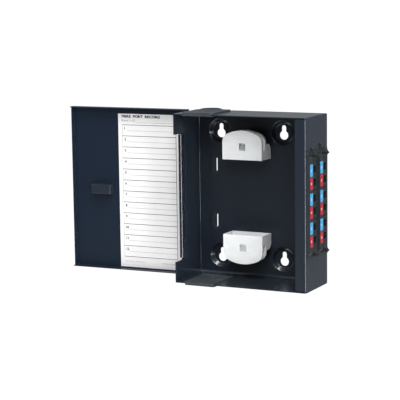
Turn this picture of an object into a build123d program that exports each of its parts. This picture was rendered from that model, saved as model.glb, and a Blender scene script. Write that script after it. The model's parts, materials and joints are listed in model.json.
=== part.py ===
from build123d import *
import os

# Wall-mounted fibre patch enclosure with its door open, in millimetres.
# +X is to the right, +Y goes into the wall, +Z is up.
# The origin is the centre of the four keyholes, on the wall plane.

# ---- Driving dimensions -------------------------------------------------
BOX_WIDTH = 182.9
BOX_HEIGHT = 220.0
BOX_DEPTH = 73.5
SHEET = 1.2
BEND_RADIUS = 2.4
BACK_BEND_RADIUS = 5.6        # where the top and bottom walls meet the back
WALL_STANDOFF = 4.5          # the dimples hold the back sheet off the wall
BOX_CENTRE_X = 15.05          # from the keyhole pattern's centre
BOX_CENTRE_Z = 4.0

KEYHOLE_SPACING_X = 89.5
KEYHOLE_SPACING_Z = 165.8
KEYHOLE_RADIUS = 5.9
KEYHOLE_SLOT_WIDTH = 6.0
KEYHOLE_SLOT_RISE = 9.9     # from the round hole's centre to the slot's top arc centre
DIMPLE_OUTER_RADIUS = 16.6
DIMPLE_FLOOR_RADIUS = 12.2
DIMPLE_RIM_RADIUS = 18.6     # the rounded rim blends into the flat sheet inside this
DIMPLE_ROUNDING = 1.6
DIMPLE_RISE = 3.4            # the dimple's centre above the round hole's centre

RETURN_FLANGE = 14.2
FLANGE_RELIEF = 1.2          # gap between the flange's ends and the top and bottom walls

HINGE_PITCH = 12.5
HINGE_KNUCKLES = 13
KNUCKLE_RADIUS = 2.5
KNUCKLE_GAP = 0.3
PIN_RADIUS = 1.2
PIN_CLEARANCE = 0.06
LEAF_THICKNESS = 1.0
LEAF_WIDTH = 18.0
HINGE_SETBACK = 24.0         # pin axis behind the box's front plane
HINGE_OUTSET = 2.6           # pin axis outside the left wall
NOTCH_DEPTH = 30.0
NOTCH_HALF_HEIGHT = 82.9

DOOR_OPEN_ANGLE = 178.36     # modelled this far open
DOOR_GAP = 11.3              # door's outer face in front of the box's front plane
DOOR_WIDTH = 174.0
DOOR_HALF_HEIGHT = 109.9
DOOR_RISE = 0.9               # door's middle above the box's middle
DOOR_FLANGE = 11.0           # top and bottom flanges, from the outer face
DOOR_LIP = 7.6               # free-edge flange, from the outer face
DOOR_SIDE_HALF_HEIGHT = 82.2

LABEL_LEFT = 13.8            # from the door's hinge side
LABEL_RIGHT = 105.4
LABEL_TOP = 102.2            # above the box's middle
LABEL_BOTTOM = -106.3
LABEL_THICKNESS = 0.25
LABEL_CUT_WIDTH = 9.5
LABEL_CUT_HEIGHT = 7.0

PULL_LENGTH = 29.2
PULL_HEIGHT = 12.7
PULL_DEPTH = 10.6
PULL_WALL = 1.2
PULL_CENTRE = 129.8          # from the door's hinge side
PULL_RISE = -0.4              # above the box's middle
PULL_RIM = 1.8
PULL_RIM_THICKNESS = 0.8
PULL_CORNER = 0.8
PULL_GATE_RADIUS = 0.8       # moulding nub on the cup's floor
PULL_GATE_HEIGHT = 0.3

BRIDGE_X = -52.4
BRIDGE_RISES = (37.6, -37.0)  # above and below the box's middle
BRIDGE_WIDTH = 6.8
BRIDGE_LENGTH = 24.0
BRIDGE_HEIGHT = 3.4
BRIDGE_LEG_RUN = 4.2          # length of each sloped leg
BRIDGE_LEG_FOOT = 1.6         # inner face of the leg starts this far in
BRIDGE_LEG_KNEE = 0.6         # and meets the crest this far in
BRIDGE_SLOT_WIDTH = 7.2
BRIDGE_SLOT_LENGTH = 17.0

SPOOL_HALF_WIDTH = 27.8
SPOOL_CROWN_RISE = 38.0       # top of the arch above the flat side
SPOOL_CROWN_RADIUS = 50.0
SPOOL_SHOULDER = 12.0         # rounding between the side and the crown
SPOOL_FLAT_RISE = 49.2        # flat side from the spools' middle
SPOOL_DROP = 0.7              # spools' middle below the box's middle
SPOOL_DEPTH = 28.8
SPOOL_WALL = 2.0
SPOOL_GROOVE = 3.2            # depth of the winding groove behind the front flange
SPOOL_REAR_FLANGE = 10.4      # second flange's front, behind the spool's face
SPOOL_REAR_THICKNESS = 4.0
SPOOL_SIDE_RISE = 13.0        # full-depth side walls
SPOOL_EAR_RISE = 20.0         # side walls behind the second flange
SPOOL_EAR_ROUNDING = 9.0
SPOOL_HUB_RADIUS = 17.0
SPOOL_HUB_STRAIGHT = 12.0
SPOOL_MARK_RADIUS = 0.9       # ejector marks on the front flange
SPOOL_MARK_X = 21.8
SPOOL_MARK_DEPTH = 0.3
SPOOL_HOLE = 9.6
SPOOL_HOLE_RISE = 16.8        # hole's centre from the flat side
SPOOL_RIVET_RISES = (10.5, 20.0)
RIVET_SHANK_RADIUS = 2.0
RIVET_HEAD_RADIUS = 4.0
RIVET_HEAD = 1.6
RIVET_TAIL_RADIUS = 3.2
RIVET_TAIL = 1.5

ENTRY_LEFT = 12.4            # from the box's left side
ENTRY_WIDTH = 43.0
ENTRY_BACK = 57.0            # behind the box's front plane
ENTRY_PROUD = 2.1
ENTRY_LIP = 2.0
ENTRY_COLLAR_X = 23.5        # from the plate's left edge
ENTRY_COLLAR_BACK = 37.0     # behind the box's front plane
ENTRY_COLLAR_BASE_RADIUS = 18.0
ENTRY_COLLAR_RADIUS = 12.8
ENTRY_COLLAR_HEIGHT = 2.4
ENTRY_BORE_RADIUS = 11.0
ENTRY_HOLE_RADIUS = 4.2
ENTRY_BEAD_RADIUS = 16.6     # moulded ring on the inner face
ENTRY_BEAD_WIDTH = 1.2
ENTRY_BEAD_HEIGHT = 0.5
ENTRY_CORNER = 3.0            # rounding of the plate's corners
ENTRY_MEMBRANE = 1.0

PLATE_FRONTS = (1.6, 35.2)   # plates' front edges behind the box's front plane
PLATE_WIDTH = 32.6
PLATE_HALF_HEIGHT = 67.3
PLATE_THICKNESS = 2.0
PLATE_CORNER = 2.0
RIDGE_WIDTH = 10.1
RIDGE_HEIGHT = 3.0
RIDGE_HALF_HEIGHT = 61.5
RIDGE_CHAMFER = 1.6
COUPLER_PITCH = 36.3
COUPLER_BEZEL_HEIGHT = 35.6
COUPLER_BEZEL_WIDTH = 20.4
COUPLER_BEZEL_THICK = 1.8
COUPLER_BEZEL_THIN = 0.5
COUPLER_BODY_WIDTH = 17.0
COUPLER_BODY_HEIGHT = 32.8
COUPLER_INWARD = 16.0        # body's reach inside the right wall
PORT_PITCH = 16.3
PORT_WIDTH = 9.6
PORT_HEIGHT = 8.4
PORT_WEB = 3.0
SLEEVE_RADIUS = 1.7
SLEEVE_BORE = 1.25
SLEEVE_LENGTH = 8.0
ICON_WIDTH = 8.0
ICON_HEIGHT = 15.4
ICON_THICKNESS = 0.4
ICON_INSET = 0.9
ICON_CORNER = 1.2

PLUNGER_RISE = 62.5          # above and below the box's middle
PLUNGER_BACK = 16.4          # behind the plate's front edge
PLUNGER_NECK_RADIUS = 1.9
PLUNGER_NECK_LENGTH = 2.4
PLUNGER_FLARE = 1.3          # the neck opens to the knob over this length
PLUNGER_KNOB_RADIUS = 3.3
PLUNGER_KNOB_LENGTH = 1.5
PLUNGER_NIB_RADIUS = 1.3
PLUNGER_NIB_LENGTH = 2.1
PLUNGER_SHAFT_RADIUS = 1.5
PLUNGER_HEAD_RADIUS = 2.0
PLUNGER_HEAD_LENGTH = 1.0
PLUNGER_TRAVEL = 4.0
SLEEVE_FLANGE_RADIUS = 4.2
SLEEVE_FLANGE = 0.8
PLUNGER_SLEEVE_RADIUS = 3.0
PLUNGER_SLEEVE_BORE = 1.7
PLUNGER_SLEEVE_INWARD = 3.5  # beyond the right wall's inner face
RUNNING_GAP = 0.3

TIE_TABS = ((47.7, 71.4, 6.4), (19.5, 69.6, 3.6))  # behind front plane, above middle, height
TIE_TAB_WIDTH = 2.2
TIE_TAB_PROUD = 1.8
TIE_TAB_ROOT = 0.2            # sunk into the wall
TIE_TAB_CHAMFER = 1.1

CUT_PAST = 5.0               # cutters run this far past a face

# ---- Derived positions --------------------------------------------------
LEFT = BOX_CENTRE_X - BOX_WIDTH / 2
RIGHT = BOX_CENTRE_X + BOX_WIDTH / 2
TOP = BOX_CENTRE_Z + BOX_HEIGHT / 2
BOTTOM = BOX_CENTRE_Z - BOX_HEIGHT / 2
BACK_OUTER = -WALL_STANDOFF
BACK_INNER = BACK_OUTER - SHEET
FRONT = BACK_OUTER - BOX_DEPTH
HINGE_X = LEFT - HINGE_OUTSET
HINGE_Y = FRONT + HINGE_SETBACK
HINGE_LENGTH = HINGE_PITCH * HINGE_KNUCKLES
HINGE_BOTTOM = BOX_CENTRE_Z - HINGE_LENGTH / 2
DOOR_OUTER = FRONT - DOOR_GAP
DOOR_INNER = DOOR_OUTER + SHEET
PLATE_OUTER = RIGHT + PLATE_THICKNESS
SIGNS = (1, -1)


def block(low, high):
    """A box between two opposite corners."""
    size = [b - a for a, b in zip(low, high)]
    centre = [(a + b) / 2 for a, b in zip(low, high)]
    return Pos(*centre) * Box(*size)


def rod_x(radius, x0, x1, y, z):
    """A round bar along X."""
    return Pos((x0 + x1) / 2, y, z) * Rot(0, 90, 0) * Cylinder(radius, x1 - x0)


def rod_y(radius, x, y0, y1, z):
    """A round bar along Y."""
    return Pos(x, (y0 + y1) / 2, z) * Rot(90, 0, 0) * Cylinder(radius, y1 - y0)


def rod_z(radius, x, y, z0, z1):
    """A round bar along Z."""
    return Pos(x, y, (z0 + z1) / 2) * Cylinder(radius, z1 - z0)


def opened(shape):
    """Turn a door piece from its closed place to its open one."""
    axis = Axis((HINGE_X, HINGE_Y, 0), (0, 0, 1))
    return shape.rotate(axis, -DOOR_OPEN_ANGLE)


# ---- Sheet-metal box ----------------------------------------------------
def keyhole_centres():
    places = []
    for side_x in SIGNS:
        for side_z in SIGNS:
            places.append((side_x * KEYHOLE_SPACING_X / 2, side_z * KEYHOLE_SPACING_Z / 2))
    return places


def dimple(x, z):
    """A dished disc that stands the back sheet off the wall."""
    corners = [
        (DIMPLE_FLOOR_RADIUS, 0), (DIMPLE_OUTER_RADIUS, WALL_STANDOFF),
        (DIMPLE_OUTER_RADIUS - SHEET / 2, WALL_STANDOFF + SHEET), (DIMPLE_FLOOR_RADIUS - SHEET / 2, SHEET),
    ]
    profile = [
        (0, 0), *corners[:2], (DIMPLE_RIM_RADIUS, WALL_STANDOFF),
        (DIMPLE_RIM_RADIUS, WALL_STANDOFF + SHEET), *corners[2:], (0, SHEET),
    ]
    flat = make_face(Polyline(*profile, close=True))
    bends = [min(flat.vertices(), key=lambda v, c=c: abs(v.X - c[0]) + abs(v.Y - c[1])) for c in corners]
    dish = revolve(Plane.XZ * fillet(bends, DIMPLE_ROUNDING), Axis.Z)
    return Pos(x, 0, z + DIMPLE_RISE) * Rot(90, 0, 0) * dish


def keyhole(x, z):
    """The round hole and its slot, through the dimple's floor."""
    y0 = -SHEET - CUT_PAST
    y1 = CUT_PAST
    slot_half = KEYHOLE_SLOT_WIDTH / 2
    hole = rod_y(KEYHOLE_RADIUS, x, y0, y1, z)
    slot = block((x - slot_half, y0, z), (x + slot_half, y1, z + KEYHOLE_SLOT_RISE))
    arc = rod_y(slot_half, x, y0, y1, z + KEYHOLE_SLOT_RISE)
    return hole + slot + arc


def folded_block(low, high, back_radius, side_radius):
    """A box rounded where the sheet bends; the two sets of bends don't run into each other."""
    upright = block(low, high)
    bends = upright.edges().filter_by(Axis.Z).filter_by(
        lambda e: e.center().Y > BACK_OUTER - BOX_DEPTH / 2 or e.center().X > BOX_CENTRE_X
    )
    upright = fillet(bends, side_radius)
    level = block(low, high)
    level = fillet(level.faces().sort_by(Axis.Y)[-1].edges().filter_by(Axis.X), back_radius)
    return upright & level


def box_skin():
    """The folded box with its front open and a return flange at the right."""
    outer = folded_block(
        (LEFT, FRONT, BOTTOM), (RIGHT, BACK_OUTER, TOP), BACK_BEND_RADIUS, BEND_RADIUS
    )
    inner = folded_block(
        (LEFT + SHEET, FRONT + SHEET, BOTTOM + SHEET), (RIGHT - SHEET, BACK_INNER, TOP - SHEET),
        BACK_BEND_RADIUS - SHEET, BEND_RADIUS - SHEET,
    )
    mouth = block(
        (LEFT + SHEET, FRONT - CUT_PAST, BOTTOM + SHEET),
        (RIGHT - RETURN_FLANGE, FRONT + 2 * SHEET, TOP - SHEET),
    )
    skin = outer - inner - mouth
    for side in SIGNS:
        wall = BOX_CENTRE_Z + side * (BOX_HEIGHT / 2 - SHEET)
        z0, z1 = sorted((wall, wall - side * FLANGE_RELIEF))
        skin -= block(
            (RIGHT - RETURN_FLANGE - CUT_PAST, FRONT - CUT_PAST, z0),
            (RIGHT + CUT_PAST, FRONT + BEND_RADIUS, z1),
        )
    return skin


def bridge(z):
    """A lanced bridge that a cable tie passes under."""
    half = BRIDGE_LENGTH / 2
    flat = half - BRIDGE_LEG_RUN
    crest = BACK_INNER - BRIDGE_HEIGHT
    profile = [
        (BACK_INNER, -half), (BACK_INNER, -half + BRIDGE_LEG_FOOT), (crest + SHEET, -flat + BRIDGE_LEG_KNEE),
        (crest + SHEET, flat - BRIDGE_LEG_KNEE), (BACK_INNER, half - BRIDGE_LEG_FOOT), (BACK_INNER, half),
        (crest, flat), (crest, -flat),
    ]
    face = Plane.YZ * make_face(Polyline(*profile, close=True))
    return Pos(BRIDGE_X, 0, z) * extrude(face, BRIDGE_WIDTH / 2, both=True)


def bridge_slot(z):
    """The hole that the bridge leaves in the back sheet."""
    half_x = BRIDGE_SLOT_WIDTH / 2
    half_z = BRIDGE_SLOT_LENGTH / 2
    return block(
        (BRIDGE_X - half_x, BACK_INNER - RUNNING_GAP, z - half_z),
        (BRIDGE_X + half_x, BACK_OUTER + CUT_PAST, z + half_z),
    )


def entry_notch(side):
    """The cable-entry notch in the top (1) or bottom (-1) wall."""
    x0 = LEFT + ENTRY_LEFT + ENTRY_LIP
    x1 = LEFT + ENTRY_LEFT + ENTRY_WIDTH - ENTRY_LIP
    y1 = FRONT + ENTRY_BACK - ENTRY_LIP
    wall = BOX_CENTRE_Z + side * BOX_HEIGHT / 2
    return block((x0, FRONT - CUT_PAST, wall - 2 * SHEET), (x1, y1, wall + 2 * SHEET))


def coupler_centres():
    """(y, z) of each coupler module, front plate first, top to bottom."""
    places = []
    for front in PLATE_FRONTS:
        y = FRONT + front + RIDGE_WIDTH + RUNNING_GAP + COUPLER_BEZEL_WIDTH / 2
        for step in (1, 0, -1):
            places.append((y, BOX_CENTRE_Z + step * COUPLER_PITCH))
    return places


def plunger_centres():
    places = []
    for front in PLATE_FRONTS:
        for side in SIGNS:
            places.append((FRONT + front + PLUNGER_BACK, BOX_CENTRE_Z + side * PLUNGER_RISE))
    return places


def coupler_window(y, z, x0, x1):
    """The rectangular hole that a coupler's body fills."""
    half_y = COUPLER_BODY_WIDTH / 2
    half_z = COUPLER_BODY_HEIGHT / 2
    return block((x0, y - half_y, z - half_z), (x1, y + half_y, z + half_z))


def spool_flat(side):
    """Height of a spool's flat side; side is 1 for the upper spool."""
    return BOX_CENTRE_Z - SPOOL_DROP + side * SPOOL_FLAT_RISE


def spool_rivet_places():
    """(x, z) of the rivets that hold each spool, as (upper, lower)."""
    groups = []
    for side in SIGNS:
        groups.append([(0, spool_flat(side) + side * rise) for rise in SPOOL_RIVET_RISES])
    return groups


def tie_tab(back, rise, height):
    """A small lanced loop on the outside of the right wall."""
    y = FRONT + back
    z = BOX_CENTRE_Z + rise
    loop = block(
        (RIGHT - TIE_TAB_ROOT, y - TIE_TAB_WIDTH / 2, z - height / 2),
        (RIGHT + TIE_TAB_PROUD, y + TIE_TAB_WIDTH / 2, z + height / 2),
    )
    edges = loop.edges().filter_by(Axis.Y).filter_by(lambda e: e.center().X > RIGHT)
    return chamfer(edges, TIE_TAB_CHAMFER)


def enclosure_shell():
    body = box_skin()
    for x, z in keyhole_centres():
        y0 = BACK_INNER - RUNNING_GAP
        body -= rod_y(DIMPLE_RIM_RADIUS, x, y0, CUT_PAST, z + DIMPLE_RISE)
        body += dimple(x, z)
        body -= keyhole(x, z)
    for rise in BRIDGE_RISES:
        body -= bridge_slot(BOX_CENTRE_Z + rise)
        body += bridge(BOX_CENTRE_Z + rise)
    body -= block(
        (LEFT - CUT_PAST, FRONT - CUT_PAST, BOX_CENTRE_Z - NOTCH_HALF_HEIGHT),
        (LEFT + CUT_PAST, FRONT + NOTCH_DEPTH, BOX_CENTRE_Z + NOTCH_HALF_HEIGHT),
    )
    for side in SIGNS:
        body -= entry_notch(side)
    for y, z in coupler_centres():
        body -= coupler_window(y, z, RIGHT - CUT_PAST, RIGHT + CUT_PAST)
    for y, z in plunger_centres():
        body -= rod_x(PLUNGER_SLEEVE_RADIUS, RIGHT - CUT_PAST, RIGHT + CUT_PAST, y, z)
    for group in spool_rivet_places():
        for x, z in group:
            body -= rod_y(RIVET_SHANK_RADIUS, x, BACK_INNER - CUT_PAST, CUT_PAST, z)
    for back, rise, height in TIE_TABS:
        body += tie_tab(back, rise, height)
    return body


# ---- Piano hinge --------------------------------------------------------
def hinge_leaf(first, toward):
    """A leaf with every second knuckle; toward is +1 for the box, -1 for the door.

    The pin is tight in the box's knuckles and turns in the door's.
    """
    leaf_edge = HINGE_Y + toward * LEAF_WIDTH
    near = HINGE_Y + toward * (KNUCKLE_RADIUS + RUNNING_GAP)
    z0 = HINGE_BOTTOM
    z1 = HINGE_BOTTOM + HINGE_LENGTH
    y0, y1 = sorted((near, leaf_edge))
    leaf = block((LEFT - LEAF_THICKNESS, y0, z0), (LEFT, y1, z1))
    for index in range(first, HINGE_KNUCKLES, 2):
        low = z0 + index * HINGE_PITCH + KNUCKLE_GAP / 2
        high = low + HINGE_PITCH - KNUCKLE_GAP
        root0, root1 = sorted((HINGE_Y, near))
        leaf += block((LEFT - LEAF_THICKNESS, root0, low), (LEFT, root1, high))
        leaf += rod_z(KNUCKLE_RADIUS, HINGE_X, HINGE_Y, low, high)
    bore = PIN_RADIUS if toward > 0 else PIN_RADIUS + PIN_CLEARANCE
    return leaf - rod_z(bore, HINGE_X, HINGE_Y, z0 - CUT_PAST, z1 + CUT_PAST)


def hinge_pin():
    return rod_z(PIN_RADIUS, HINGE_X, HINGE_Y, HINGE_BOTTOM, HINGE_BOTTOM + HINGE_LENGTH)


# ---- Door ---------------------------------------------------------------
def door_panel():
    """The shallow door tray, modelled closed and then opened."""
    z0 = BOX_CENTRE_Z + DOOR_RISE - DOOR_HALF_HEIGHT
    z1 = BOX_CENTRE_Z + DOOR_RISE + DOOR_HALF_HEIGHT
    x1 = LEFT + DOOR_WIDTH
    tray = block((LEFT, DOOR_OUTER, z0), (x1, DOOR_OUTER + DOOR_FLANGE, z1))
    folds = tray.faces().sort_by(Axis.Y)[0].edges()
    tray = fillet(folds, BEND_RADIUS - SHEET)
    hollow = block(
        (LEFT - CUT_PAST, DOOR_INNER, z0 + SHEET),
        (x1 - SHEET, DOOR_OUTER + DOOR_FLANGE + CUT_PAST, z1 - SHEET),
    )
    lip_cut = block(
        (x1 - 2 * SHEET, DOOR_OUTER + DOOR_LIP, z0 + SHEET),
        (x1 + CUT_PAST, DOOR_OUTER + DOOR_FLANGE + CUT_PAST, z1 - SHEET),
    )
    door = tray - hollow - lip_cut
    side_end = HINGE_Y - KNUCKLE_RADIUS - 2 * RUNNING_GAP
    door += block(
        (LEFT, DOOR_INNER, BOX_CENTRE_Z - DOOR_SIDE_HALF_HEIGHT),
        (LEFT + SHEET, side_end, BOX_CENTRE_Z + DOOR_SIDE_HALF_HEIGHT),
    )
    door -= pull_cutter()
    return opened(door)


def pull_cutter():
    """The hole in the door that the finger pull snaps into."""
    x = LEFT + PULL_CENTRE
    z = BOX_CENTRE_Z + PULL_RISE
    return block(
        (x - PULL_LENGTH / 2, DOOR_OUTER - CUT_PAST, z - PULL_HEIGHT / 2),
        (x + PULL_LENGTH / 2, DOOR_INNER + CUT_PAST, z + PULL_HEIGHT / 2),
    )


def door_pull():
    """A moulded cup, open to the outside, with a thin rim on the door's face."""
    x = LEFT + PULL_CENTRE
    z = BOX_CENTRE_Z + PULL_RISE
    half_x = PULL_LENGTH / 2
    half_z = PULL_HEIGHT / 2
    cup = block((x - half_x, DOOR_OUTER, z - half_z), (x + half_x, DOOR_OUTER + PULL_DEPTH, z + half_z))
    cup = fillet(cup.faces().sort_by(Axis.Y)[-1].edges(), PULL_CORNER)
    cup += block(
        (x - half_x - PULL_RIM, DOOR_OUTER - PULL_RIM_THICKNESS, z - half_z - PULL_RIM),
        (x + half_x + PULL_RIM, DOOR_OUTER, z + half_z + PULL_RIM),
    )
    cup -= block(
        (x - half_x + PULL_WALL, DOOR_OUTER - CUT_PAST, z - half_z + PULL_WALL),
        (x + half_x - PULL_WALL, DOOR_OUTER + PULL_DEPTH - PULL_WALL, z + half_z - PULL_WALL),
    )
    floor = DOOR_OUTER + PULL_DEPTH
    cup += rod_y(PULL_GATE_RADIUS, x, floor - PULL_WALL, floor + PULL_GATE_HEIGHT, z)
    return opened(cup)


def port_label():
    """The paper port chart on the door's inner face, one corner cut off."""
    x0 = LEFT + LABEL_LEFT
    x1 = LEFT + LABEL_RIGHT
    z0 = BOX_CENTRE_Z + LABEL_BOTTOM
    z1 = BOX_CENTRE_Z + LABEL_TOP
    outline = [(x0, z0), (x1, z0), (x1, z1), (x0 + LABEL_CUT_WIDTH, z1), (x0, z1 - LABEL_CUT_HEIGHT)]
    face = Plane.XZ * make_face(Polyline(*outline, close=True))
    sheet = Pos(0, DOOR_INNER + LABEL_THICKNESS, 0) * extrude(face, LABEL_THICKNESS)
    return opened(sheet)


# ---- Slack spools -------------------------------------------------------
def arch_outline(half_width, crown_rise, crown_radius, shoulder):
    """A flat-bottomed arch in (x, rise): straight sides, round shoulders, shallow crown."""
    chord = crown_radius - (crown_radius ** 2 - half_width ** 2) ** 0.5
    corner = crown_rise - chord
    left = Line((-half_width, corner), (-half_width, 0))
    base = Line((-half_width, 0), (half_width, 0))
    right = Line((half_width, 0), (half_width, corner))
    crown = ThreePointArc((half_width, corner), (0, crown_rise), (-half_width, corner))
    outline = make_face(left + base + right + crown)
    return fillet(outline.vertices().filter_by(lambda v: v.Y > corner / 2), shoulder)


def arch_slab(inset, y0, y1, side):
    """The spool's outline, drawn in by inset, as a slab; side -1 turns it upside down."""
    outline = arch_outline(
        SPOOL_HALF_WIDTH - inset, SPOOL_CROWN_RISE - inset, SPOOL_CROWN_RADIUS - inset, SPOOL_SHOULDER - inset
    )
    return stood(Pos(0, y1, 0) * extrude(Plane.XZ * outline, y1 - y0), side)


def hub_slab(inset, y0, y1, side):
    """The half-round hub behind the second flange, drawn in by inset."""
    half = SPOOL_HUB_RADIUS - inset
    rise = SPOOL_HUB_STRAIGHT
    left = Line((-half, rise), (-half, 0))
    base = Line((-half, 0), (half, 0))
    right = Line((half, 0), (half, rise))
    crown = ThreePointArc((half, rise), (0, rise + half), (-half, rise))
    face = Plane.XZ * make_face(left + base + right + crown)
    return stood(Pos(0, y1, 0) * extrude(face, y1 - y0), side)


def stood(shape, side):
    """Put a spool shape drawn above rise 0 on its flat side's height."""
    if side < 0:
        shape = Rot(0, 180, 0) * shape
    return Pos(0, 0, spool_flat(side)) * shape


def spool_side_wall(hand, side):
    """A side wall, full depth near the flat side and higher behind the second flange."""
    y_front = BACK_INNER - SPOOL_DEPTH
    rear = y_front + SPOOL_REAR_FLANGE
    flat = spool_flat(side)
    xa, xb = sorted((hand * (SPOOL_HALF_WIDTH - SPOOL_WALL), hand * SPOOL_HALF_WIDTH))
    za, zb = sorted((flat, flat + side * SPOOL_SIDE_RISE))
    wall = block((xa, y_front, za), (xb, BACK_INNER, zb))
    za, zb = sorted((flat, flat + side * SPOOL_EAR_RISE))
    ear = block((xa, rear, za), (xb, BACK_INNER, zb))
    tip = ear.edges().filter_by(Axis.X).filter_by(
        lambda e: e.center().Y > rear + SPOOL_WALL and abs(e.center().Z - flat) > SPOOL_EAR_ROUNDING
    )
    return wall + fillet(tip, SPOOL_EAR_ROUNDING)


def spool(side):
    """A moulded half-spool: two flanges with a winding groove, hollow hub and side walls."""
    y_front = BACK_INNER - SPOOL_DEPTH
    rear = y_front + SPOOL_REAR_FLANGE
    rear_end = rear + SPOOL_REAR_THICKNESS
    back = BACK_INNER - SPOOL_WALL
    flat = spool_flat(side)
    body = arch_slab(0, y_front, y_front + SPOOL_WALL, side)
    body += arch_slab(SPOOL_GROOVE, y_front + SPOOL_WALL, rear, side)
    body += arch_slab(0, rear, rear_end, side)
    body += hub_slab(0, rear_end, BACK_INNER, side)
    body -= arch_slab(SPOOL_GROOVE + SPOOL_WALL, y_front + SPOOL_WALL, rear_end - SPOOL_WALL, side)
    body -= hub_slab(SPOOL_WALL, rear, back, side)
    for hand in SIGNS:
        body += spool_side_wall(hand, side)
    inside = SPOOL_HALF_WIDTH - SPOOL_WALL
    za, zb = sorted((flat, flat + side * (SPOOL_SIDE_RISE - SPOOL_WALL)))
    plate = block((-inside, back, za), (inside, BACK_INNER, zb))
    za, zb = sorted((flat + side * (SPOOL_SIDE_RISE - SPOOL_WALL), flat + side * SPOOL_SIDE_RISE))
    ledge = block((-inside, rear_end, za), (inside, BACK_INNER, zb))
    body += plate + (ledge - hub_slab(SPOOL_WALL, y_front, back, side))
    za, zb = sorted((flat - side * SHEET, flat + side * (SPOOL_SIDE_RISE - SPOOL_WALL)))
    body -= block((-inside, y_front + SPOOL_WALL, za), (inside, back, zb))
    hole_z = flat + side * SPOOL_HOLE_RISE
    half = SPOOL_HOLE / 2
    hole_back = y_front + SPOOL_WALL + SHEET
    body -= block((-half, y_front - CUT_PAST, hole_z - half), (half, hole_back, hole_z + half))
    for hand in SIGNS:
        x = hand * SPOOL_MARK_X
        body -= rod_y(SPOOL_MARK_RADIUS, x, y_front - CUT_PAST, y_front + SPOOL_MARK_DEPTH, hole_z)
    for x, z in spool_rivet_places()[0 if side > 0 else 1]:
        body -= rod_y(RIVET_SHANK_RADIUS, x, back - SHEET, BACK_INNER + CUT_PAST, z)
    return body


def spool_rivets(side):
    """Two push rivets through the spool's back plate and the back sheet."""
    head = BACK_INNER - SPOOL_WALL
    rivets = []
    for x, z in spool_rivet_places()[0 if side > 0 else 1]:
        rivet = rod_y(RIVET_SHANK_RADIUS, x, head, BACK_OUTER, z)
        rivet += rod_y(RIVET_HEAD_RADIUS, x, head - RIVET_HEAD, head, z)
        rivet += rod_y(RIVET_TAIL_RADIUS, x, BACK_OUTER, BACK_OUTER + RIVET_TAIL, z)
        rivets.append(rivet)
    return Compound(children=rivets)


# ---- Cable entries ------------------------------------------------------
def entry_grommet(side):
    """A rubber plate that slides into the wall's notch and carries a collar."""
    x0 = LEFT + ENTRY_LEFT
    x1 = x0 + ENTRY_WIDTH
    y0 = FRONT
    y1 = FRONT + ENTRY_BACK
    wall_half = BOX_HEIGHT / 2
    inner_face = wall_half - SHEET
    outer = block((x0, y0, wall_half), (x1, y1, wall_half + ENTRY_PROUD))
    corners = outer.edges().filter_by(Axis.Z)
    outer = fillet(corners, ENTRY_CORNER)
    neck = block((x0 + ENTRY_LIP, FRONT, inner_face), (x1 - ENTRY_LIP, y1 - ENTRY_LIP, wall_half))
    inner = block((x0, FRONT, inner_face - SHEET), (x1, y1, inner_face))
    body = outer + neck + inner
    cx = x0 + ENTRY_COLLAR_X
    cy = FRONT + ENTRY_COLLAR_BACK
    collar_base = wall_half + ENTRY_PROUD
    collar = Pos(cx, cy, collar_base + ENTRY_COLLAR_HEIGHT / 2) * Cone(
        ENTRY_COLLAR_BASE_RADIUS, ENTRY_COLLAR_RADIUS, ENTRY_COLLAR_HEIGHT
    )
    body += collar
    bead_top = inner_face - SHEET
    bead = rod_z(ENTRY_BEAD_RADIUS, cx, cy, bead_top - ENTRY_BEAD_HEIGHT, bead_top)
    bead -= rod_z(ENTRY_BEAD_RADIUS - ENTRY_BEAD_WIDTH, cx, cy, bead_top - CUT_PAST, bead_top + CUT_PAST)
    body += bead
    membrane = bead_top + ENTRY_MEMBRANE
    body -= rod_z(ENTRY_BORE_RADIUS, cx, cy, membrane, collar_base + ENTRY_COLLAR_HEIGHT + CUT_PAST)
    body -= rod_z(ENTRY_HOLE_RADIUS, cx, cy, inner_face - CUT_PAST, membrane + CUT_PAST)
    if side < 0:
        body = mirror(body, Plane.XY)
    return Pos(0, 0, BOX_CENTRE_Z) * body


# ---- Coupler plates -----------------------------------------------------
def coupler_plate(index):
    """A flat plate with a raised ridge for the port colour icons."""
    y0 = FRONT + PLATE_FRONTS[index]
    y1 = y0 + PLATE_WIDTH
    z0 = BOX_CENTRE_Z - PLATE_HALF_HEIGHT
    z1 = BOX_CENTRE_Z + PLATE_HALF_HEIGHT
    plate = block((RIGHT, y0, z0), (PLATE_OUTER, y1, z1))
    plate = fillet(plate.edges().filter_by(Axis.X), PLATE_CORNER)
    ridge = block(
        (RIGHT + SHEET, y0, BOX_CENTRE_Z - RIDGE_HALF_HEIGHT),
        (PLATE_OUTER + RIDGE_HEIGHT, y0 + RIDGE_WIDTH, BOX_CENTRE_Z + RIDGE_HALF_HEIGHT),
    )
    ends = ridge.faces().sort_by(Axis.X)[-1].edges().filter_by(Axis.Y)
    ridge = chamfer(ends, RIDGE_CHAMFER)
    plate += ridge
    first = 3 * index
    for y, z in coupler_centres()[first:first + 3]:
        plate -= coupler_window(y, z, RIGHT - CUT_PAST, PLATE_OUTER + CUT_PAST)
    first = 2 * index
    for y, z in plunger_centres()[first:first + 2]:
        plate -= rod_x(PLUNGER_SLEEVE_RADIUS, RIGHT - CUT_PAST, PLATE_OUTER + CUT_PAST, y, z)
    return plate


def port_places(y, z):
    """(y, z) of a coupler's two ports."""
    return [(y, z + PORT_PITCH / 2), (y, z - PORT_PITCH / 2)]


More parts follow.
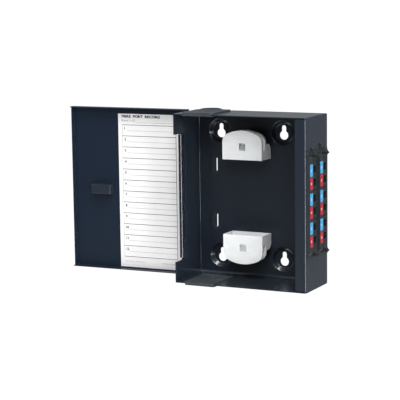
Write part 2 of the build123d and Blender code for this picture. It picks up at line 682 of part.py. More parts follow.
def coupler(y, z):
    """A duplex coupler: sloped bezel and two sockets outside, one shared recess inside."""
    half_w = COUPLER_BEZEL_WIDTH / 2
    half_h = COUPLER_BEZEL_HEIGHT / 2
    outer = PLATE_OUTER
    outline = [
        (outer, y - half_w), (outer + COUPLER_BEZEL_THICK, y - half_w),
        (outer + COUPLER_BEZEL_THIN, y + half_w), (outer, y + half_w),
    ]
    bezel = Pos(0, 0, z - half_h) * extrude(make_face(Polyline(*outline, close=True)), 2 * half_h)
    inward = RIGHT - COUPLER_INWARD
    body = coupler_window(y, z, inward, outer)
    body += bezel
    middle = (inward + outer) / 2
    half_web = PORT_WEB / 2
    for port_y, port_z in port_places(y, z):
        low = (port_y - PORT_WIDTH / 2, port_z - PORT_HEIGHT / 2)
        high = (port_y + PORT_WIDTH / 2, port_z + PORT_HEIGHT / 2)
        body -= block((middle + half_web, *low), (outer + CUT_PAST, *high))
        body -= rod_x(SLEEVE_RADIUS, inward, outer, port_y, port_z)
    recess = (PORT_PITCH + PORT_HEIGHT) / 2
    body -= block(
        (inward - CUT_PAST, y - PORT_WIDTH / 2, z - recess),
        (middle - half_web, y + PORT_WIDTH / 2, z + recess),
    )
    return body


def alignment_sleeves():
    """The ceramic tube in the middle of every port."""
    middle = (RIGHT - COUPLER_INWARD + PLATE_OUTER) / 2
    x0 = middle - SLEEVE_LENGTH / 2
    x1 = middle + SLEEVE_LENGTH / 2
    sleeves = []
    for y, z in coupler_centres():
        for port_y, port_z in port_places(y, z):
            tube = rod_x(SLEEVE_RADIUS, x0, x1, port_y, port_z)
            tube -= rod_x(SLEEVE_BORE, x0 - CUT_PAST, x1 + CUT_PAST, port_y, port_z)
            sleeves.append(tube)
    return Compound(children=sleeves)


def port_icons(which):
    """The colour icons of the upper (0) or lower (1) port of every coupler."""
    x0 = PLATE_OUTER + RIDGE_HEIGHT
    icons = []
    for index, (y, z) in enumerate(coupler_centres()):
        y0 = FRONT + PLATE_FRONTS[index // 3] + ICON_INSET
        port_z = port_places(y, z)[which][1]
        icon = block(
            (x0, y0, port_z - ICON_HEIGHT / 2),
            (x0 + ICON_THICKNESS, y0 + ICON_WIDTH, port_z + ICON_HEIGHT / 2),
        )
        icons.append(fillet(icon.edges().filter_by(Axis.X), ICON_CORNER))
    return Compound(children=icons)


# ---- Plungers -----------------------------------------------------------
def plunger(y, z):
    """A push-pull pin: flared knob outside, shaft through the sleeve, small head inside."""
    seat = PLATE_OUTER + SLEEVE_FLANGE
    inner_end = RIGHT - SHEET - PLUNGER_SLEEVE_INWARD
    head_end = inner_end - PLUNGER_TRAVEL - RUNNING_GAP
    neck0 = seat + RUNNING_GAP
    flare0 = neck0 + PLUNGER_NECK_LENGTH
    knob0 = flare0 + PLUNGER_FLARE
    knob1 = knob0 + PLUNGER_KNOB_LENGTH
    outline = [
        (head_end - PLUNGER_HEAD_LENGTH, 0), (head_end - PLUNGER_HEAD_LENGTH, PLUNGER_HEAD_RADIUS),
        (head_end, PLUNGER_HEAD_RADIUS), (head_end, PLUNGER_SHAFT_RADIUS),
        (neck0, PLUNGER_SHAFT_RADIUS), (neck0, PLUNGER_NECK_RADIUS),
        (flare0, PLUNGER_NECK_RADIUS), (knob0, PLUNGER_KNOB_RADIUS),
        (knob1, PLUNGER_KNOB_RADIUS), (knob1, PLUNGER_NIB_RADIUS),
        (knob1 + PLUNGER_NIB_LENGTH, PLUNGER_NIB_RADIUS), (knob1 + PLUNGER_NIB_LENGTH, 0),
    ]
    turned = revolve(make_face(Polyline(*outline, close=True)), Axis.X)
    return Pos(0, y, z) * turned


def plunger_sleeves():
    """The four flanged sleeves that the plungers slide in."""
    seat = PLATE_OUTER + SLEEVE_FLANGE
    inner_end = RIGHT - SHEET - PLUNGER_SLEEVE_INWARD
    sleeves = []
    for y, z in plunger_centres():
        tube = rod_x(PLUNGER_SLEEVE_RADIUS, inner_end, PLATE_OUTER, y, z)
        tube += rod_x(SLEEVE_FLANGE_RADIUS, PLATE_OUTER, seat, y, z)
        tube -= rod_x(PLUNGER_SLEEVE_BORE, inner_end - CUT_PAST, seat + CUT_PAST, y, z)
        sleeves.append(tube)
    return Compound(children=sleeves)


# ---- Write every piece --------------------------------------------------
def write(name, shape):
    export_step(shape, "parts/" + name + ".step")


os.makedirs("parts", exist_ok=True)
write("enclosure_shell", enclosure_shell())
write("hinge_leaf_body", hinge_leaf(0, 1))
write("hinge_leaf_door", opened(hinge_leaf(1, -1)))
write("hinge_pin", hinge_pin())
write("door_panel", door_panel())
write("door_pull", door_pull())
write("port_label", port_label())
for spool_name, spool_side in (("upper", 1), ("lower", -1)):
    write("spool_" + spool_name, spool(spool_side))
    write("spool_rivets_" + spool_name, spool_rivets(spool_side))
for entry_name, entry_side in (("top", 1), ("bottom", -1)):
    write("entry_grommet_" + entry_name, entry_grommet(entry_side))
for plate_index, plate_name in enumerate(("front", "rear")):
    write("coupler_plate_" + plate_name, coupler_plate(plate_index))
for coupler_index, (coupler_y, coupler_z) in enumerate(coupler_centres()):
    write("coupler_" + str(coupler_index + 1), coupler(coupler_y, coupler_z))
write("alignment_sleeves", alignment_sleeves())
write("port_icons_blue", port_icons(0))
write("port_icons_red", port_icons(1))
for plunger_index, (plunger_y, plunger_z) in enumerate(plunger_centres()):
    write("plunger_" + str(plunger_index + 1), plunger(plunger_y, plunger_z))
write("plunger_sleeves", plunger_sleeves())
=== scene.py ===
import json
import math

import bmesh
import bpy
from mathutils import Matrix, Vector


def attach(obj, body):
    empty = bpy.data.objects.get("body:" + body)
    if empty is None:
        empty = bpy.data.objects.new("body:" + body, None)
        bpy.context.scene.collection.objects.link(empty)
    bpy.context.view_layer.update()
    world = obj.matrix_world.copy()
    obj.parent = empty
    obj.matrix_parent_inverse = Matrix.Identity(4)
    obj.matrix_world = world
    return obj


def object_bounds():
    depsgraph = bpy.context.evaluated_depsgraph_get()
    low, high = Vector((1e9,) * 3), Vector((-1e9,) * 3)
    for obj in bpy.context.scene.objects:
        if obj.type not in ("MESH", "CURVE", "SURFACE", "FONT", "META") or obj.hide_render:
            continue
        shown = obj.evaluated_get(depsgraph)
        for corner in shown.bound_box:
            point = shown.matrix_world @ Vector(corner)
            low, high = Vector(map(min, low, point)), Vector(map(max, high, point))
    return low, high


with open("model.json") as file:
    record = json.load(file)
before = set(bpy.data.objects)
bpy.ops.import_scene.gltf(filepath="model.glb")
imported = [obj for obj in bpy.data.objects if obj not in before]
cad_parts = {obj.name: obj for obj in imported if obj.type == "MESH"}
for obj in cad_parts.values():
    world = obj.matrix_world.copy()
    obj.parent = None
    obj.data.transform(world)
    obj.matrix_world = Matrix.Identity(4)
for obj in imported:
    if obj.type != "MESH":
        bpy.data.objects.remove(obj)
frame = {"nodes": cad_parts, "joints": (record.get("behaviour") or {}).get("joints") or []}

MM = 0.001
cad_low, cad_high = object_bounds()
nodes = frame["nodes"]
hinge = next(j for j in frame["joints"] if j["name"] == "door_hinge")

# ---- Named values, in metres unless they say otherwise ------------------
# camera; angles in degrees, sensor and lens in millimetres
CAMERA_PLACE = (0.82788, -1.81970, 0.29666)
CAMERA_AZIMUTH = 26.4717
CAMERA_ELEVATION = 8.5395
CAMERA_ROLL = -0.7747
SENSOR_WIDTH = 36.0
FOCAL_LENGTH = 138.473
NEAREST_SEEN = 0.05
FURTHEST_SEEN = 100.0

# soft boxes, all turned to one aim; power in watts
LIGHT_AIM = (0.0, -0.05, 0.0)
LIGHTS = {
    "key": {"place": (0.75, -1.9, 1.3), "size": (1.1, 0.9), "power": 27.0},
    "side": {"place": (1.7, -0.85, 0.0), "size": (0.5, 1.3), "power": 30.0},
    "overhead": {"place": (0.45, -0.75, 1.6), "size": (1.0, 0.4), "power": 30.0},
}

# sky: each part of its brightness goes from low to high as a direction's share of the axis goes
# from start to end
SKY_BEHIND = {"axis": "Y", "start": -0.55, "end": 0.35, "low": 0.14, "high": 0.22}
SKY_ABOVE = {"axis": "Z", "start": 0.02, "end": 0.45, "low": 0.0, "high": 0.40}
SKY_SIDE = {"axis": "X", "start": 0.1, "end": 1.0, "low": 0.0, "high": 0.10}
SKY_TINT = (0.93, 0.97, 1.0)
BACKDROP_WHITE = (1.0, 1.0, 1.0)
BACKDROP_STRENGTH = 1.05

# round floor, well below the box because the box hangs on a wall
FLOOR_DROP = 0.35
FLOOR_RADIUS = 0.9
FLOOR_SIDES = 96

# softened CAD edges
WELD_GAP = 0.002 * MM
ROUND_SEGMENTS = 2
ROUND_ANGLE = math.radians(40.0)

# edges painted lighter, partly as wear and partly as a painted highlight: the cosine between true and
# rounded normals where the lightening begins and where it is full
FLAT_COSINE = 0.99
EDGE_FULL_COSINE = 0.82
EDGE_SAMPLES = 4

# port chart printed on the label; its left is the closed door's high-X side, as seen from inside
INK_LIFT = 0.04 * MM
INK_THICKNESS = 0.03 * MM
LETTER_THICKNESS = 0.02 * MM
LETTER_STEPS = 3
ROWS = 12
ROW_PITCH = 14.95 * MM
LEFT_MARGIN = 6.0 * MM
RIGHT_MARGIN = 5.8 * MM
TOP_MARGIN = 14.9 * MM
HEAVY_HALF_WIDTH = 0.33 * MM
LIGHT_HALF_WIDTH = 0.19 * MM
MIDLINE_SHARE = 0.52
MIDLINE_INDENT = 7.0 * MM
HEADING_RULE_RISE = 3.4 * MM
HEADING_RULE_INDENT = 20.0 * MM
HEADING_OUTDENT = 0.5 * MM
HEADING_RISE = 11.5 * MM
SUBHEADING_RISE = 5.9 * MM
NUMBER_INDENT = 3.0 * MM
NUMBER_DROP = 4.6 * MM
FOOTER_DROP = 6.5 * MM
LEFT_FOOTER_INDENT = 1.9 * MM
RIGHT_FOOTER_REACH = 23.1 * MM

# signs on the port icons: each ring's inner and outer radius, and the rings' place across the icon
MARK_RINGS = ((1.0 * MM, 1.7 * MM), (0.0, 0.45 * MM))
MARK_SHARE = 0.36
MARK_LIFT = 0.01 * MM
MARK_THICKNESS = 0.06 * MM
MARK_STEPS = 20


# ---- Camera -------------------------------------------------------------
def make_camera():
    """Look at the open box from its right and a little above."""
    azimuth = math.radians(CAMERA_AZIMUTH)
    elevation = math.radians(CAMERA_ELEVATION)
    roll = math.radians(CAMERA_ROLL)
    back = Vector((
        math.sin(azimuth) * math.cos(elevation),
        -math.cos(azimuth) * math.cos(elevation),
        math.sin(elevation),
    ))
    level_right = Vector((math.cos(azimuth), math.sin(azimuth), 0.0))
    level_up = back.cross(level_right)
    right = level_right * math.cos(roll) + level_up * math.sin(roll)
    up = level_up * math.cos(roll) - level_right * math.sin(roll)
    data = bpy.data.cameras.new("camera")
    data.sensor_width = SENSOR_WIDTH
    data.lens = FOCAL_LENGTH
    data.clip_start = NEAREST_SEEN
    data.clip_end = FURTHEST_SEEN
    camera = bpy.data.objects.new("camera", data)
    turn = Matrix((right, up, back)).transposed().to_4x4()
    camera.matrix_world = Matrix.Translation(Vector(CAMERA_PLACE)) @ turn
    bpy.context.scene.collection.objects.link(camera)
    bpy.context.scene.camera = camera


# ---- Material building --------------------------------------------------
class Tree:
    """Short calls for making and wiring a material's nodes."""

    SHADER_SOCKETS = {
        "color": "Base Color",
        "rough": "Roughness",
        "metal": "Metallic",
        "normal": "Normal",
        "specular": "Specular IOR Level",
        "coat": "Coat Weight",
        "coat_rough": "Coat Roughness",
        "glow": "Emission Color",
        "glow_strength": "Emission Strength",
    }
    # where a Mix node keeps its factor, its two colours and the mixed colour
    MIX_FACTOR = 0
    MIX_FIRST = 6
    MIX_SECOND = 7
    MIX_RESULT = 2

    def __init__(self, name):
        self.material = bpy.data.materials.new(name)
        self.material.use_nodes = True
        self.nodes = self.material.node_tree.nodes
        self.links = self.material.node_tree.links
        self.shader = self.nodes["Principled BSDF"]
        self.coords = self.nodes.new("ShaderNodeTexCoord").outputs["Object"]

    def put(self, socket, value):
        """Link another node's output to a socket, or set a number or a colour on it."""
        if isinstance(value, bpy.types.NodeSocket):
            self.links.new(value, socket)
        elif isinstance(value, tuple):
            socket.default_value = (*value, 1.0)
        else:
            socket.default_value = value

    def noise(self, scale, detail, roughness, stretch=None, distortion=0.0):
        """Soft blotches, about scale of them to a metre."""
        node = self.nodes.new("ShaderNodeTexNoise")
        vector = self.coords
        if stretch:
            mapping = self.nodes.new("ShaderNodeMapping")
            mapping.inputs["Scale"].default_value = stretch
            self.links.new(vector, mapping.inputs["Vector"])
            vector = mapping.outputs["Vector"]
        self.links.new(vector, node.inputs["Vector"])
        node.inputs["Scale"].default_value = scale
        node.inputs["Detail"].default_value = detail
        node.inputs["Roughness"].default_value = roughness
        node.inputs["Distortion"].default_value = distortion
        return node.outputs["Fac"]

    def cells(self, scale):
        """Small grains, about scale of them to a metre."""
        node = self.nodes.new("ShaderNodeTexVoronoi")
        self.links.new(self.coords, node.inputs["Vector"])
        node.inputs["Scale"].default_value = scale
        return node.outputs["Distance"]

    def remap(self, value, start, end, low=0.0, high=1.0):
        """Give low where the value is start, and high where it is end."""
        node = self.nodes.new("ShaderNodeMapRange")
        self.put(node.inputs["Value"], value)
        node.inputs["From Min"].default_value = start
        node.inputs["From Max"].default_value = end
        node.inputs["To Min"].default_value = low
        node.inputs["To Max"].default_value = high
        return node.outputs["Result"]

    def around(self, noise, middle, swing):
        """A value that a noise moves up and down from its middle."""
        return self.remap(noise, start=0.3, end=0.7, low=middle - swing, high=middle + swing)

    def combine(self, operation, a, b):
        node = self.nodes.new("ShaderNodeMath")
        node.operation = operation
        self.put(node.inputs[0], a)
        self.put(node.inputs[1], b)
        return node.outputs[0]

    def mix(self, factor, first, second):
        """The first colour where the factor is 0, and the second where it is 1."""
        node = self.nodes.new("ShaderNodeMix")
        node.data_type = "RGBA"
        self.put(node.inputs[self.MIX_FACTOR], factor)
        self.put(node.inputs[self.MIX_FIRST], first)
        self.put(node.inputs[self.MIX_SECOND], second)
        return node.outputs[self.MIX_RESULT]

    def bump(self, height, strength, distance, normal=None):
        """The normal of a relief, laid over an earlier relief if one is given."""
        node = self.nodes.new("ShaderNodeBump")
        node.inputs["Strength"].default_value = strength
        node.inputs["Distance"].default_value = distance
        self.put(node.inputs["Height"], height)
        if normal is not None:
            self.links.new(normal, node.inputs["Normal"])
        return node.outputs["Normal"]

    def edges(self, radius):
        """1 along sharp edges, 0 on flat faces."""
        rounded = self.nodes.new("ShaderNodeBevel")
        rounded.samples = EDGE_SAMPLES
        rounded.inputs["Radius"].default_value = radius
        true = self.nodes.new("ShaderNodeNewGeometry")
        dot = self.nodes.new("ShaderNodeVectorMath")
        dot.operation = "DOT_PRODUCT"
        self.links.new(rounded.outputs["Normal"], dot.inputs[0])
        self.links.new(true.outputs["Normal"], dot.inputs[1])
        return self.remap(dot.outputs["Value"], FLAT_COSINE, EDGE_FULL_COSINE)

    def finish(self, **sockets):
        """Fill the shader's sockets, called by their short names, and give the material."""
        for key, value in sockets.items():
            self.put(self.shader.inputs[self.SHADER_SOCKETS[key]], value)
        return self.material


def shade(colour, gain, lift=0.0):
    """The colour made lighter or darker, but never past white."""
    return tuple(min(1.0, c * gain + lift) for c in colour)


def powder_coat(name, base, tint, rough, specular, wear_and_highlight_strength=1.0):
    """Fine-textured powder coat: orange peel, faint mottling, and edges painted lighter in patches, partly
    as rubbed wear and partly as a painted highlight.
    """
    t = Tree(name)
    peel = t.noise(scale=1500.0, detail=3.0, roughness=0.6)
    grit = t.cells(scale=2600.0)
    mottle = t.noise(scale=9.0, detail=4.0, roughness=0.55)
    fine = t.noise(scale=240.0, detail=3.0, roughness=0.6)
    colour = t.mix(t.remap(mottle, start=0.35, end=0.68), base, tint)
    specks = t.remap(fine, start=0.45, end=0.75, high=0.12)
    colour = t.mix(specks, colour, shade(base, gain=1.5, lift=0.003))
    # edges painted lighter where the mottle allows: partly rubbed wear, partly a painted highlight along
    # bends and edges
    patches = t.remap(mottle, start=0.35, end=0.62, low=0.45 * wear_and_highlight_strength, high=0.9 * wear_and_highlight_strength)
    wear_and_highlight = t.combine("MULTIPLY", t.edges(radius=0.5 * MM), patches)
    colour = t.mix(wear_and_highlight, colour, shade(base, gain=2.1, lift=0.008))
    fine_rough = t.around(fine, middle=rough, swing=0.01)
    broad_rough = t.around(mottle, middle=0.0, swing=0.02)
    normal = t.bump(peel, strength=0.06, distance=0.04 * MM)
    normal = t.bump(grit, strength=0.04, distance=0.02 * MM, normal=normal)
    return t.finish(
        color=colour, rough=t.combine("ADD", fine_rough, broad_rough), specular=specular, normal=normal,
        coat=0.55, coat_rough=0.13,
    )


def moulded(name, base, rough, specular, grain=1800.0, relief=0.12, wear_and_highlight_gain=1.6):
    """Moulded plastic: fine grain, faint flow marks, and edges painted lighter in patches, partly as rubbed
    wear and partly as a painted highlight.
    """
    t = Tree(name)
    skin = t.noise(scale=grain, detail=2.0, roughness=0.5)
    flow = t.noise(scale=30.0, detail=3.0, roughness=0.6, stretch=(1.0, 1.0, 3.5), distortion=0.6)
    smudge = t.noise(scale=70.0, detail=4.0, roughness=0.6)
    colour = t.mix(t.remap(flow, start=0.35, end=0.7), base, shade(base, gain=0.90, lift=0.001))
    patches = t.remap(smudge, start=0.3, end=0.6, low=0.2, high=0.7)
    # edges painted lighter in smudged patches: partly rubbed wear, partly a painted highlight
    edge_wear_and_highlight = t.combine("MULTIPLY", t.edges(radius=0.4 * MM), patches)
    colour = t.mix(edge_wear_and_highlight, colour, shade(base, gain=wear_and_highlight_gain, lift=0.004))
    smudge_rough = t.around(smudge, middle=rough, swing=0.06)
    flow_rough = t.around(flow, middle=0.0, swing=0.02)
    normal = t.bump(skin, strength=relief, distance=0.06 * MM)
    normal = t.bump(flow, strength=0.03, distance=0.4 * MM, normal=normal)
    return t.finish(
        color=colour, rough=t.combine("ADD", smudge_rough, flow_rough), specular=specular, normal=normal,
    )


def rubber(name, base):
    """Dull dark rubber with a pale bloom, and edges painted paler, partly as wear and partly as a painted
    highlight.
    """
    t = Tree(name)
    skin = t.noise(scale=1100.0, detail=4.0, roughness=0.65)
    bloom = t.noise(scale=26.0, detail=4.0, roughness=0.6)
    colour = t.mix(t.remap(bloom, start=0.35, end=0.7), base, shade(base, gain=1.35, lift=0.004))
    # edges painted paler: partly wear, partly a painted highlight
    edge_wear_and_highlight = t.combine("MULTIPLY", t.edges(radius=0.6 * MM), 0.5)
    colour = t.mix(edge_wear_and_highlight, colour, shade(base, gain=1.8, lift=0.004))
    normal = t.bump(skin, strength=0.25, distance=0.08 * MM)
    rough = t.around(bloom, middle=0.60, swing=0.08)
    return t.finish(color=colour, rough=rough, specular=0.35, normal=normal)


def paper(name, base, grime):
    """Matt label paper: upright fibres, a faint cloudiness and patches of grime."""
    t = Tree(name)
    fibre = t.noise(scale=1400.0, detail=4.0, roughness=0.7, stretch=(1.0, 1.0, 0.35))
    cloud = t.noise(scale=45.0, detail=4.0, roughness=0.6)
    handling = t.noise(scale=14.0, detail=3.0, roughness=0.55)
    colour = t.mix(t.remap(cloud, start=0.35, end=0.7), base, shade(base, gain=0.965))
    colour = t.mix(t.remap(handling, start=0.5, end=0.8, high=0.5), colour, grime)
    normal = t.bump(fibre, strength=0.12, distance=0.05 * MM)
    normal = t.bump(cloud, strength=0.05, distance=0.4 * MM, normal=normal)
    rough = t.around(fibre, middle=0.70, swing=0.08)
    return t.finish(color=colour, rough=rough, specular=0.12, normal=normal)


def ink(name, base):
    """Printer's ink, a little uneven."""
    t = Tree(name)
    spread = t.noise(scale=2600.0, detail=3.0, roughness=0.6)
    colour = t.mix(t.remap(spread, start=0.4, end=0.75), base, shade(base, gain=1.4, lift=0.03))
    rough = t.around(spread, middle=0.55, swing=0.10)
    return t.finish(color=colour, rough=rough, specular=0.3)


def steel(name, bright, stained):
    """Bare steel with dull stains and fine marks round the pin."""
    t = Tree(name)
    turned = t.noise(scale=900.0, detail=3.0, roughness=0.6, stretch=(1.0, 1.0, 6.0))
    stain = t.noise(scale=60.0, detail=4.0, roughness=0.6)
    colour = t.mix(t.remap(stain, start=0.4, end=0.75), bright, stained)
    normal = t.bump(turned, strength=0.15, distance=0.05 * MM)
    rough = t.around(turned, middle=0.37, swing=0.09)
    return t.finish(color=colour, rough=rough, metal=1.0, normal=normal)


def ceramic(name, bright, cloudy):
    """Smooth, slightly clouded ceramic."""
    t = Tree(name)
    cloud = t.noise(scale=300.0, detail=3.0, roughness=0.6)
    colour = t.mix(t.remap(cloud, start=0.35, end=0.7), bright, cloudy)
    rough = t.around(cloud, middle=0.19, swing=0.05)
    return t.finish(color=colour, rough=rough, specular=0.5)


def floor_paint(name, light, dark):
    """Matt pale paint that glows a little, so that it looks nearly white in dim light."""
    t = Tree(name)
    cloud = t.noise(scale=3.0, detail=3.0, roughness=0.5)
    colour = t.mix(t.remap(cloud, start=0.3, end=0.7), light, dark)
    return t.finish(color=colour, rough=0.8, specular=0.1, glow=colour, glow_strength=0.6)


# ---- Materials ----------------------------------------------------------
# the edge gains given to these finishes set how much lighter the edges are painted: partly wear, partly a
# painted highlight, strongest on the door pull
BOX_PAINT = powder_coat(
    "box_paint", base=(0.0094, 0.0140, 0.0195), tint=(0.0080, 0.0122, 0.0220), rough=0.36, specular=0.30,
)
DOOR_PAINT = powder_coat(
    "door_paint", base=(0.0058, 0.0112, 0.0205), tint=(0.0048, 0.0106, 0.0240), rough=0.38, specular=0.25,
)
HINGE_PAINT = powder_coat(
    "hinge_paint", base=(0.0060, 0.0090, 0.0170), tint=(0.0050, 0.0080, 0.0170), rough=0.20, specular=0.75,
    wear_and_highlight_strength=0.15,
)
LABEL_PAPER = paper("label_paper", base=(0.715, 0.705, 0.705), grime=(0.67925, 0.6627, 0.6345))
SPOOL_WHITE = moulded(
    "spool_white", base=(0.71, 0.72, 0.725), rough=0.38, specular=0.36, grain=1500.0, relief=0.05, wear_and_highlight_gain=1.22,
)
PLATE_BLACK = moulded("plate_black", base=(0.0110, 0.0155, 0.0180), rough=0.50, specular=0.36)
COUPLER_BLACK = moulded("coupler_black", base=(0.0085, 0.0120, 0.0140), rough=0.45, specular=0.36)
PULL_BLACK = moulded("pull_black", base=(0.0125, 0.0180, 0.0275), rough=0.34, specular=0.50, wear_and_highlight_gain=3.4)
PLUNGER_BLACK = moulded("plunger_black", base=(0.0080, 0.0095, 0.0115), rough=0.50, specular=0.35)
RIVET_BLACK = moulded("rivet_black", base=(0.0150, 0.0170, 0.0190), rough=0.45, specular=0.40)
GROMMET = rubber("grommet_rubber", base=(0.0230, 0.0280, 0.0330))
PIN_STEEL = steel("pin_steel", bright=(0.42, 0.42, 0.43), stained=(0.28, 0.27, 0.27))
SLEEVE_CERAMIC = ceramic("sleeve_ceramic", bright=(0.86, 0.86, 0.82), cloudy=(0.78, 0.77, 0.72))
ICON_BLUE = moulded(
    "icon_blue", base=(0.055, 0.255, 0.470), rough=0.35, specular=0.5, grain=1500.0, relief=0.05, wear_and_highlight_gain=1.2,
)
ICON_RED = moulded(
    "icon_red", base=(0.300, 0.014, 0.024), rough=0.35, specular=0.5, grain=1500.0, relief=0.05, wear_and_highlight_gain=1.2,
)
INK_BLACK = ink("ink_black", base=(0.030, 0.026, 0.030))
INK_GREY = ink("ink_grey", base=(0.260, 0.240, 0.245))
MARK_PALE = moulded(
    "mark_pale", base=(0.36, 0.42, 0.47), rough=0.45, specular=0.4, grain=1500.0, relief=0.04, wear_and_highlight_gain=1.0,
)
FLOOR_PAINT = floor_paint("floor_paint", light=(0.93, 0.93, 0.93), dark=(0.90, 0.90, 0.90))

# each CAD node takes the material of the first of these that its name starts with
FINISHES = {
    "enclosure_shell": BOX_PAINT,
    "door_panel": DOOR_PAINT,
    "door_pull": PULL_BLACK,
    "hinge_leaf_": HINGE_PAINT,
    "hinge_pin": PIN_STEEL,
    "port_label": LABEL_PAPER,
    "spool_rivets_": RIVET_BLACK,
    "spool_": SPOOL_WHITE,
    "entry_grommet_": GROMMET,
    "coupler_plate_": PLATE_BLACK,
    "coupler_": COUPLER_BLACK,
    "alignment_sleeves": SLEEVE_CERAMIC,
    "port_icons_blue": ICON_BLUE,
    "port_icons_red": ICON_RED,
    "plunger_": PLUNGER_BLACK,
}

# how wide the edges of bent, cut and moulded nodes are rounded, in millimetres
ROUNDED = {
    "enclosure_shell": 0.18,
    "door_panel": 0.2,
    "door_pull": 0.35,
    "hinge_leaf_body": 0.15,
    "hinge_leaf_door": 0.15,
    "spool_upper": 0.35,
    "spool_lower": 0.35,
    "entry_grommet_top": 0.5,
    "entry_grommet_bottom": 0.5,
    "coupler_plate_front": 0.3,
    "coupler_plate_rear": 0.3,
}


def soften(node, width):
    """Round a CAD node's edges with modifiers; its own mesh is left as it is."""
    weld = node.modifiers.new("join", "WELD")
    weld.merge_threshold = WELD_GAP
    bevel = node.modifiers.new("round", "BEVEL")
    bevel.width = width
    bevel.segments = ROUND_SEGMENTS
    bevel.limit_method = "ANGLE"
    bevel.angle_limit = ROUND_ANGLE
    bevel.use_clamp_overlap = True
    bevel.harden_normals = False
    normals = node.modifiers.new("normals", "WEIGHTED_NORMAL")
    normals.keep_sharp = False


def dress_cad_nodes():
    """Give every CAD node its material, and round the edges that show."""
    for name, node in nodes.items():
        start = next(start for start in FINISHES if name.startswith(start))
        node.data.materials.clear()
        node.data.materials.append(FINISHES[start])
    for name, width in ROUNDED.items():
        soften(nodes[name], width * MM)


# ---- Shared helpers -----------------------------------------------------
def box_of(points):
    """The lowest and highest corners of some points."""
    low = Vector([min(p[axis] for p in points) for axis in range(3)])
    high = Vector([max(p[axis] for p in points) for axis in range(3)])
    return low, high


def opening_turn():
    """Takes a point of the closed door to where the door stands."""
    pivot = Vector(hinge["pos_m"])
    angle = -math.radians(hinge["range_deg"][1])
    return Matrix.Translation(pivot) @ Matrix.Rotation(angle, 4, "Z") @ Matrix.Translation(-pivot)


OPEN = opening_turn()


def closed_box(node):
    """The corners of a door node's box when the door is closed."""
    back = OPEN.inverted()
    return box_of([back @ v.co for v in nodes[node].data.vertices])


def piece(name, mesh, body, material):
    """Add a new piece that moves with a body, with the given material."""
    obj = bpy.data.objects.new(name, mesh)
    bpy.context.scene.collection.objects.link(obj)
    mesh.materials.clear()
    mesh.materials.append(material)
    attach(obj, body)


# ---- Port chart print ---------------------------------------------------
LABEL_LOW, LABEL_HIGH = closed_box("port_label")
LABEL_FACE = LABEL_HIGH.y + INK_LIFT
CHART_LEFT = LABEL_HIGH.x - LEFT_MARGIN
CHART_RIGHT = LABEL_LOW.x + RIGHT_MARGIN
CHART_TOP = LABEL_HIGH.z - TOP_MARGIN
CHART_BOTTOM = CHART_TOP - ROWS * ROW_PITCH


def add_bar(bm, x0, x1, z0, z1):
    """A thin printed bar on the label's face, in closed-door coordinates."""
    y0, y1 = LABEL_FACE, LABEL_FACE + INK_THICKNESS
    corners = [Vector((x, y, z)) for y in (y0, y1) for z in (z0, z1) for x in (x0, x1)]
    v = [bm.verts.new(OPEN @ c) for c in corners]
    for face in ((0, 1, 3, 2), (4, 6, 7, 5), (0, 2, 6, 4), (1, 5, 7, 3), (0, 4, 5, 1), (2, 3, 7, 6)):
        bm.faces.new([v[i] for i in face])


def across(x0, x1, z, half_width):
    """The sides of a level line."""
    return x0, x1, z - half_width, z + half_width


def upright(x, half_width):
    """The sides of an upright line as tall as the chart."""
    return x - half_width, x + half_width, CHART_BOTTOM, CHART_TOP


def print_lines(name, lines, material):
    """All the lines of one weight, as one piece."""
    bm = bmesh.new()
    for sides in lines:
        add_bar(bm, *sides)
    bmesh.ops.recalc_face_normals(bm, faces=bm.faces)
    mesh = bpy.data.meshes.new(name)
    bm.to_mesh(mesh)
    bm.free()
    piece(name, mesh, "door", material)


def print_rules():
    """The heavy lines between rows and down the right, then the faint lines."""
    heavy, light = HEAVY_HALF_WIDTH, LIGHT_HALF_WIDTH
    row_ends = [CHART_TOP - n * ROW_PITCH for n in range(ROWS + 1)]
    strong = [across(CHART_RIGHT - heavy, CHART_LEFT + heavy, z, heavy) for z in row_ends]
    strong.append(upright(CHART_RIGHT, heavy))
    print_lines("chart_rules", strong, INK_BLACK)
    row_middles = [CHART_TOP - (n + MIDLINE_SHARE) * ROW_PITCH for n in range(ROWS)]
    faint = [across(CHART_RIGHT, CHART_LEFT - MIDLINE_INDENT, z, light) for z in row_middles]
    faint.append(upright(CHART_LEFT, light))
    faint.append(across(CHART_RIGHT, CHART_LEFT - HEADING_RULE_INDENT, CHART_TOP + HEADING_RULE_RISE, light))
    print_lines("chart_midlines", faint, INK_GREY)


def letters(name, words, weight):
    """The words as a flat mesh; weight thickens their strokes."""
    curve = bpy.data.curves.new(name, "FONT")
    curve.body = words
    curve.size = 1.0
    curve.offset = weight
    curve.extrude = 0.0
    curve.resolution_u = LETTER_STEPS
    holder = bpy.data.objects.new(name + "_curve", curve)
    bpy.context.scene.collection.objects.link(holder)
    bpy.context.view_layer.update()
    mesh = bpy.data.meshes.new_from_object(holder.evaluated_get(bpy.context.evaluated_depsgraph_get()))
    bpy.data.objects.remove(holder)
    mesh.name = name
    return mesh


def thicken(mesh):
    """Turn flat letters to face out of the label, and give them a little depth."""
    out = OPEN.to_3x3() @ Vector((0.0, 1.0, 0.0))
    bm = bmesh.new()
    bm.from_mesh(mesh)
    faces = list(bm.faces)
    for face in faces:
        if face.normal.dot(out) < 0:
            face.normal_flip()
    grown = bmesh.ops.extrude_face_region(bm, geom=faces)
    for item in grown["geom"]:
        if isinstance(item, bmesh.types.BMVert):
            item.co += out * LETTER_THICKNESS
    bmesh.ops.recalc_face_normals(bm, faces=bm.faces)
    bm.to_mesh(mesh)
    bm.free()


